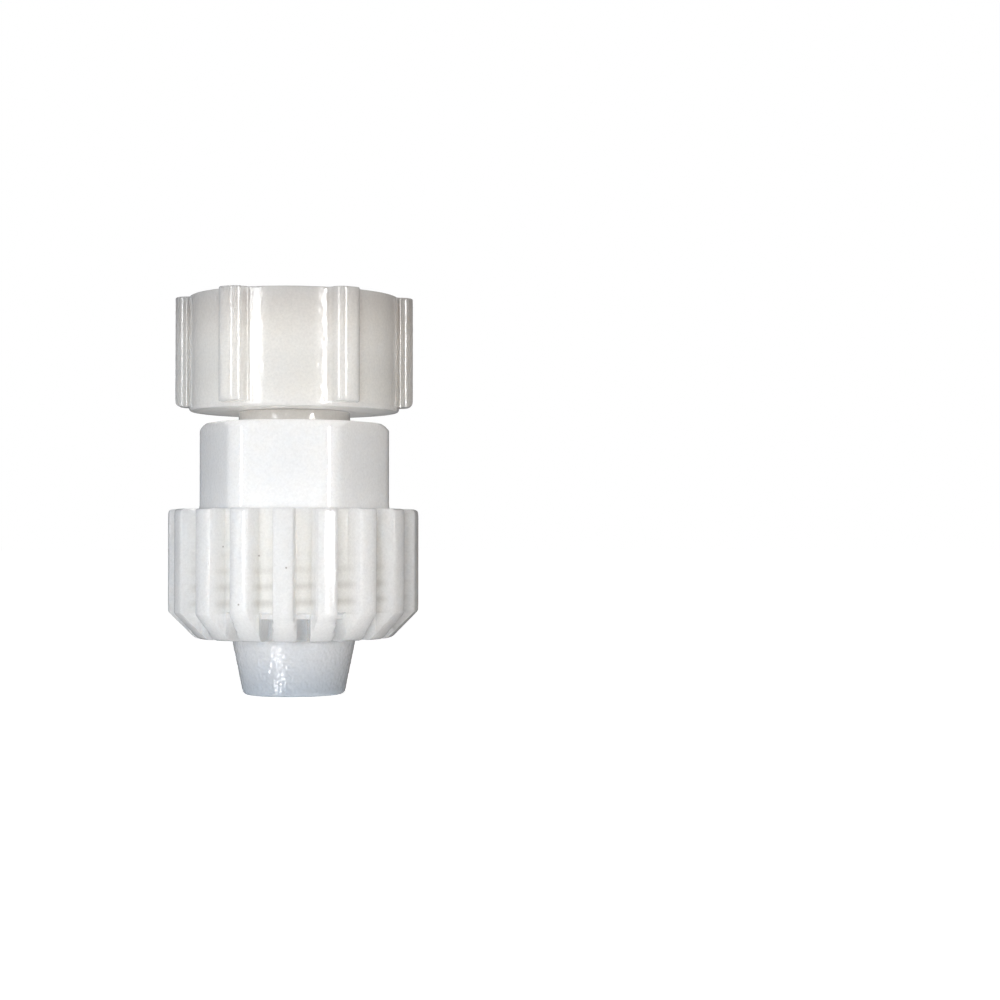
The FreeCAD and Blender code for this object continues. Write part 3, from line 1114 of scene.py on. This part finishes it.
def surroundings():
    """White to the camera, dim for diffuse light, bluish on the left and warm on the right, and
    darker still in reflections, which draws the thin dark edges of the milky plastic."""
    world = bpy.data.worlds.new("surroundings")
    bpy.context.scene.world = world
    world.use_nodes = True
    tree = world.node_tree
    tree.nodes.clear()
    output = tree.nodes.new("ShaderNodeOutputWorld")
    path = tree.nodes.new("ShaderNodeLightPath")
    direction = tree.nodes.new("ShaderNodeTexCoord").outputs["Generated"]
    colour = blend(tree, ramp(tree, parts(tree, direction)["X"], -1, 1), sky_left, sky_right)
    colour = blend(tree, path.outputs["Is Glossy Ray"], colour, sky_in_gloss)
    colour = blend(tree, path.outputs["Is Camera Ray"], colour, (1, 1, 1, 1))
    light = tree.nodes.new("ShaderNodeBackground")
    tree.links.new(colour, light.inputs["Color"])
    tree.links.new(light.outputs[0], output.inputs["Surface"])


surroundings()
print("surroundings:", sky_left[:3], "on the left,", sky_right[:3], "on the right")

# %% Lamps
aim_height = 0.025


def soft_lamp(name, turn, lift, distance, width, height, power, colour):
    """A rectangular lamp aimed at the middle of the fitting, at a plan angle turn and an angle
    lift above the level, both in degrees, distance metres away. Width and height are in metres,
    the power in watts."""
    data = bpy.data.lights.new(name, "AREA")
    data.shape = "RECTANGLE"
    data.size = width
    data.size_y = height
    data.energy = power
    data.color = colour
    lamp = bpy.data.objects.new(name, data)
    turn = math.radians(turn)
    lift = math.radians(lift)
    lamp.location = (
        distance * math.sin(turn) * math.cos(lift),
        -distance * math.cos(turn) * math.cos(lift),
        distance * math.sin(lift) + aim_height,
    )
    lamp.rotation_euler = (math.pi / 2 - lift, 0, turn)
    bpy.context.scene.collection.objects.link(lamp)
    return lamp


def shine_through(lamp):
    """Let a lamp's light pass the milky walls: nothing but the lamp itself, which has no
    surface, is on the list of what casts a shadow in it."""
    blockers = bpy.data.collections.new(lamp.name + "_blockers")
    blockers.objects.link(lamp)
    lamp.light_linking.blocker_collection = blockers


lamps = {
    name: soft_lamp(name, *numbers)
    for name, *numbers in (
        ("key_left", -42, 6, 0.9, 0.20, 0.50, 1.1, (0.86, 0.94, 1.0)),
        ("right", 36, 6, 0.9, 0.06, 0.50, 1.2, (1.0, 0.97, 0.93)),
        ("front_fill", -11, 1, 1.0, 0.20, 0.12, 4.3, (1.0, 0.985, 0.96)),
        ("through_front", -6, 1, 1.0, 0.30, 0.30, 1.6, (1.0, 0.995, 0.98)),
        ("through_below", -20, -80, 1.0, 0.30, 0.30, 4.8, (0.97, 0.98, 1.0)),
        ("left_sheen", -42, 6, 0.9, 0.11, 0.50, 4.4, (1.0, 1.0, 1.0)),
        ("right_sheen", 35, 6, 0.9, 0.08, 0.50, 6.0, (1.0, 1.0, 1.0)),
        ("floor_sheen", -32, -27, 0.9, 0.12, 0.12, 3.2, (1.0, 1.0, 1.0)),
    )
}
for name in ("through_front", "through_below", "floor_sheen"):
    shine_through(lamps[name])
for name in ("front_fill", "through_front", "through_below"):
    lamps[name].visible_glossy = False
for name in ("left_sheen", "right_sheen", "floor_sheen"):
    lamps[name].visible_diffuse = False
core_alone = bpy.data.collections.new("floor_sheen_receivers")
core_alone.objects.link(barbed_body)
lamps["floor_sheen"].light_linking.receiver_collection = core_alone
print("lamps:", ", ".join(lamps))
bpy.context.scene.view_settings.view_transform = "Standard"
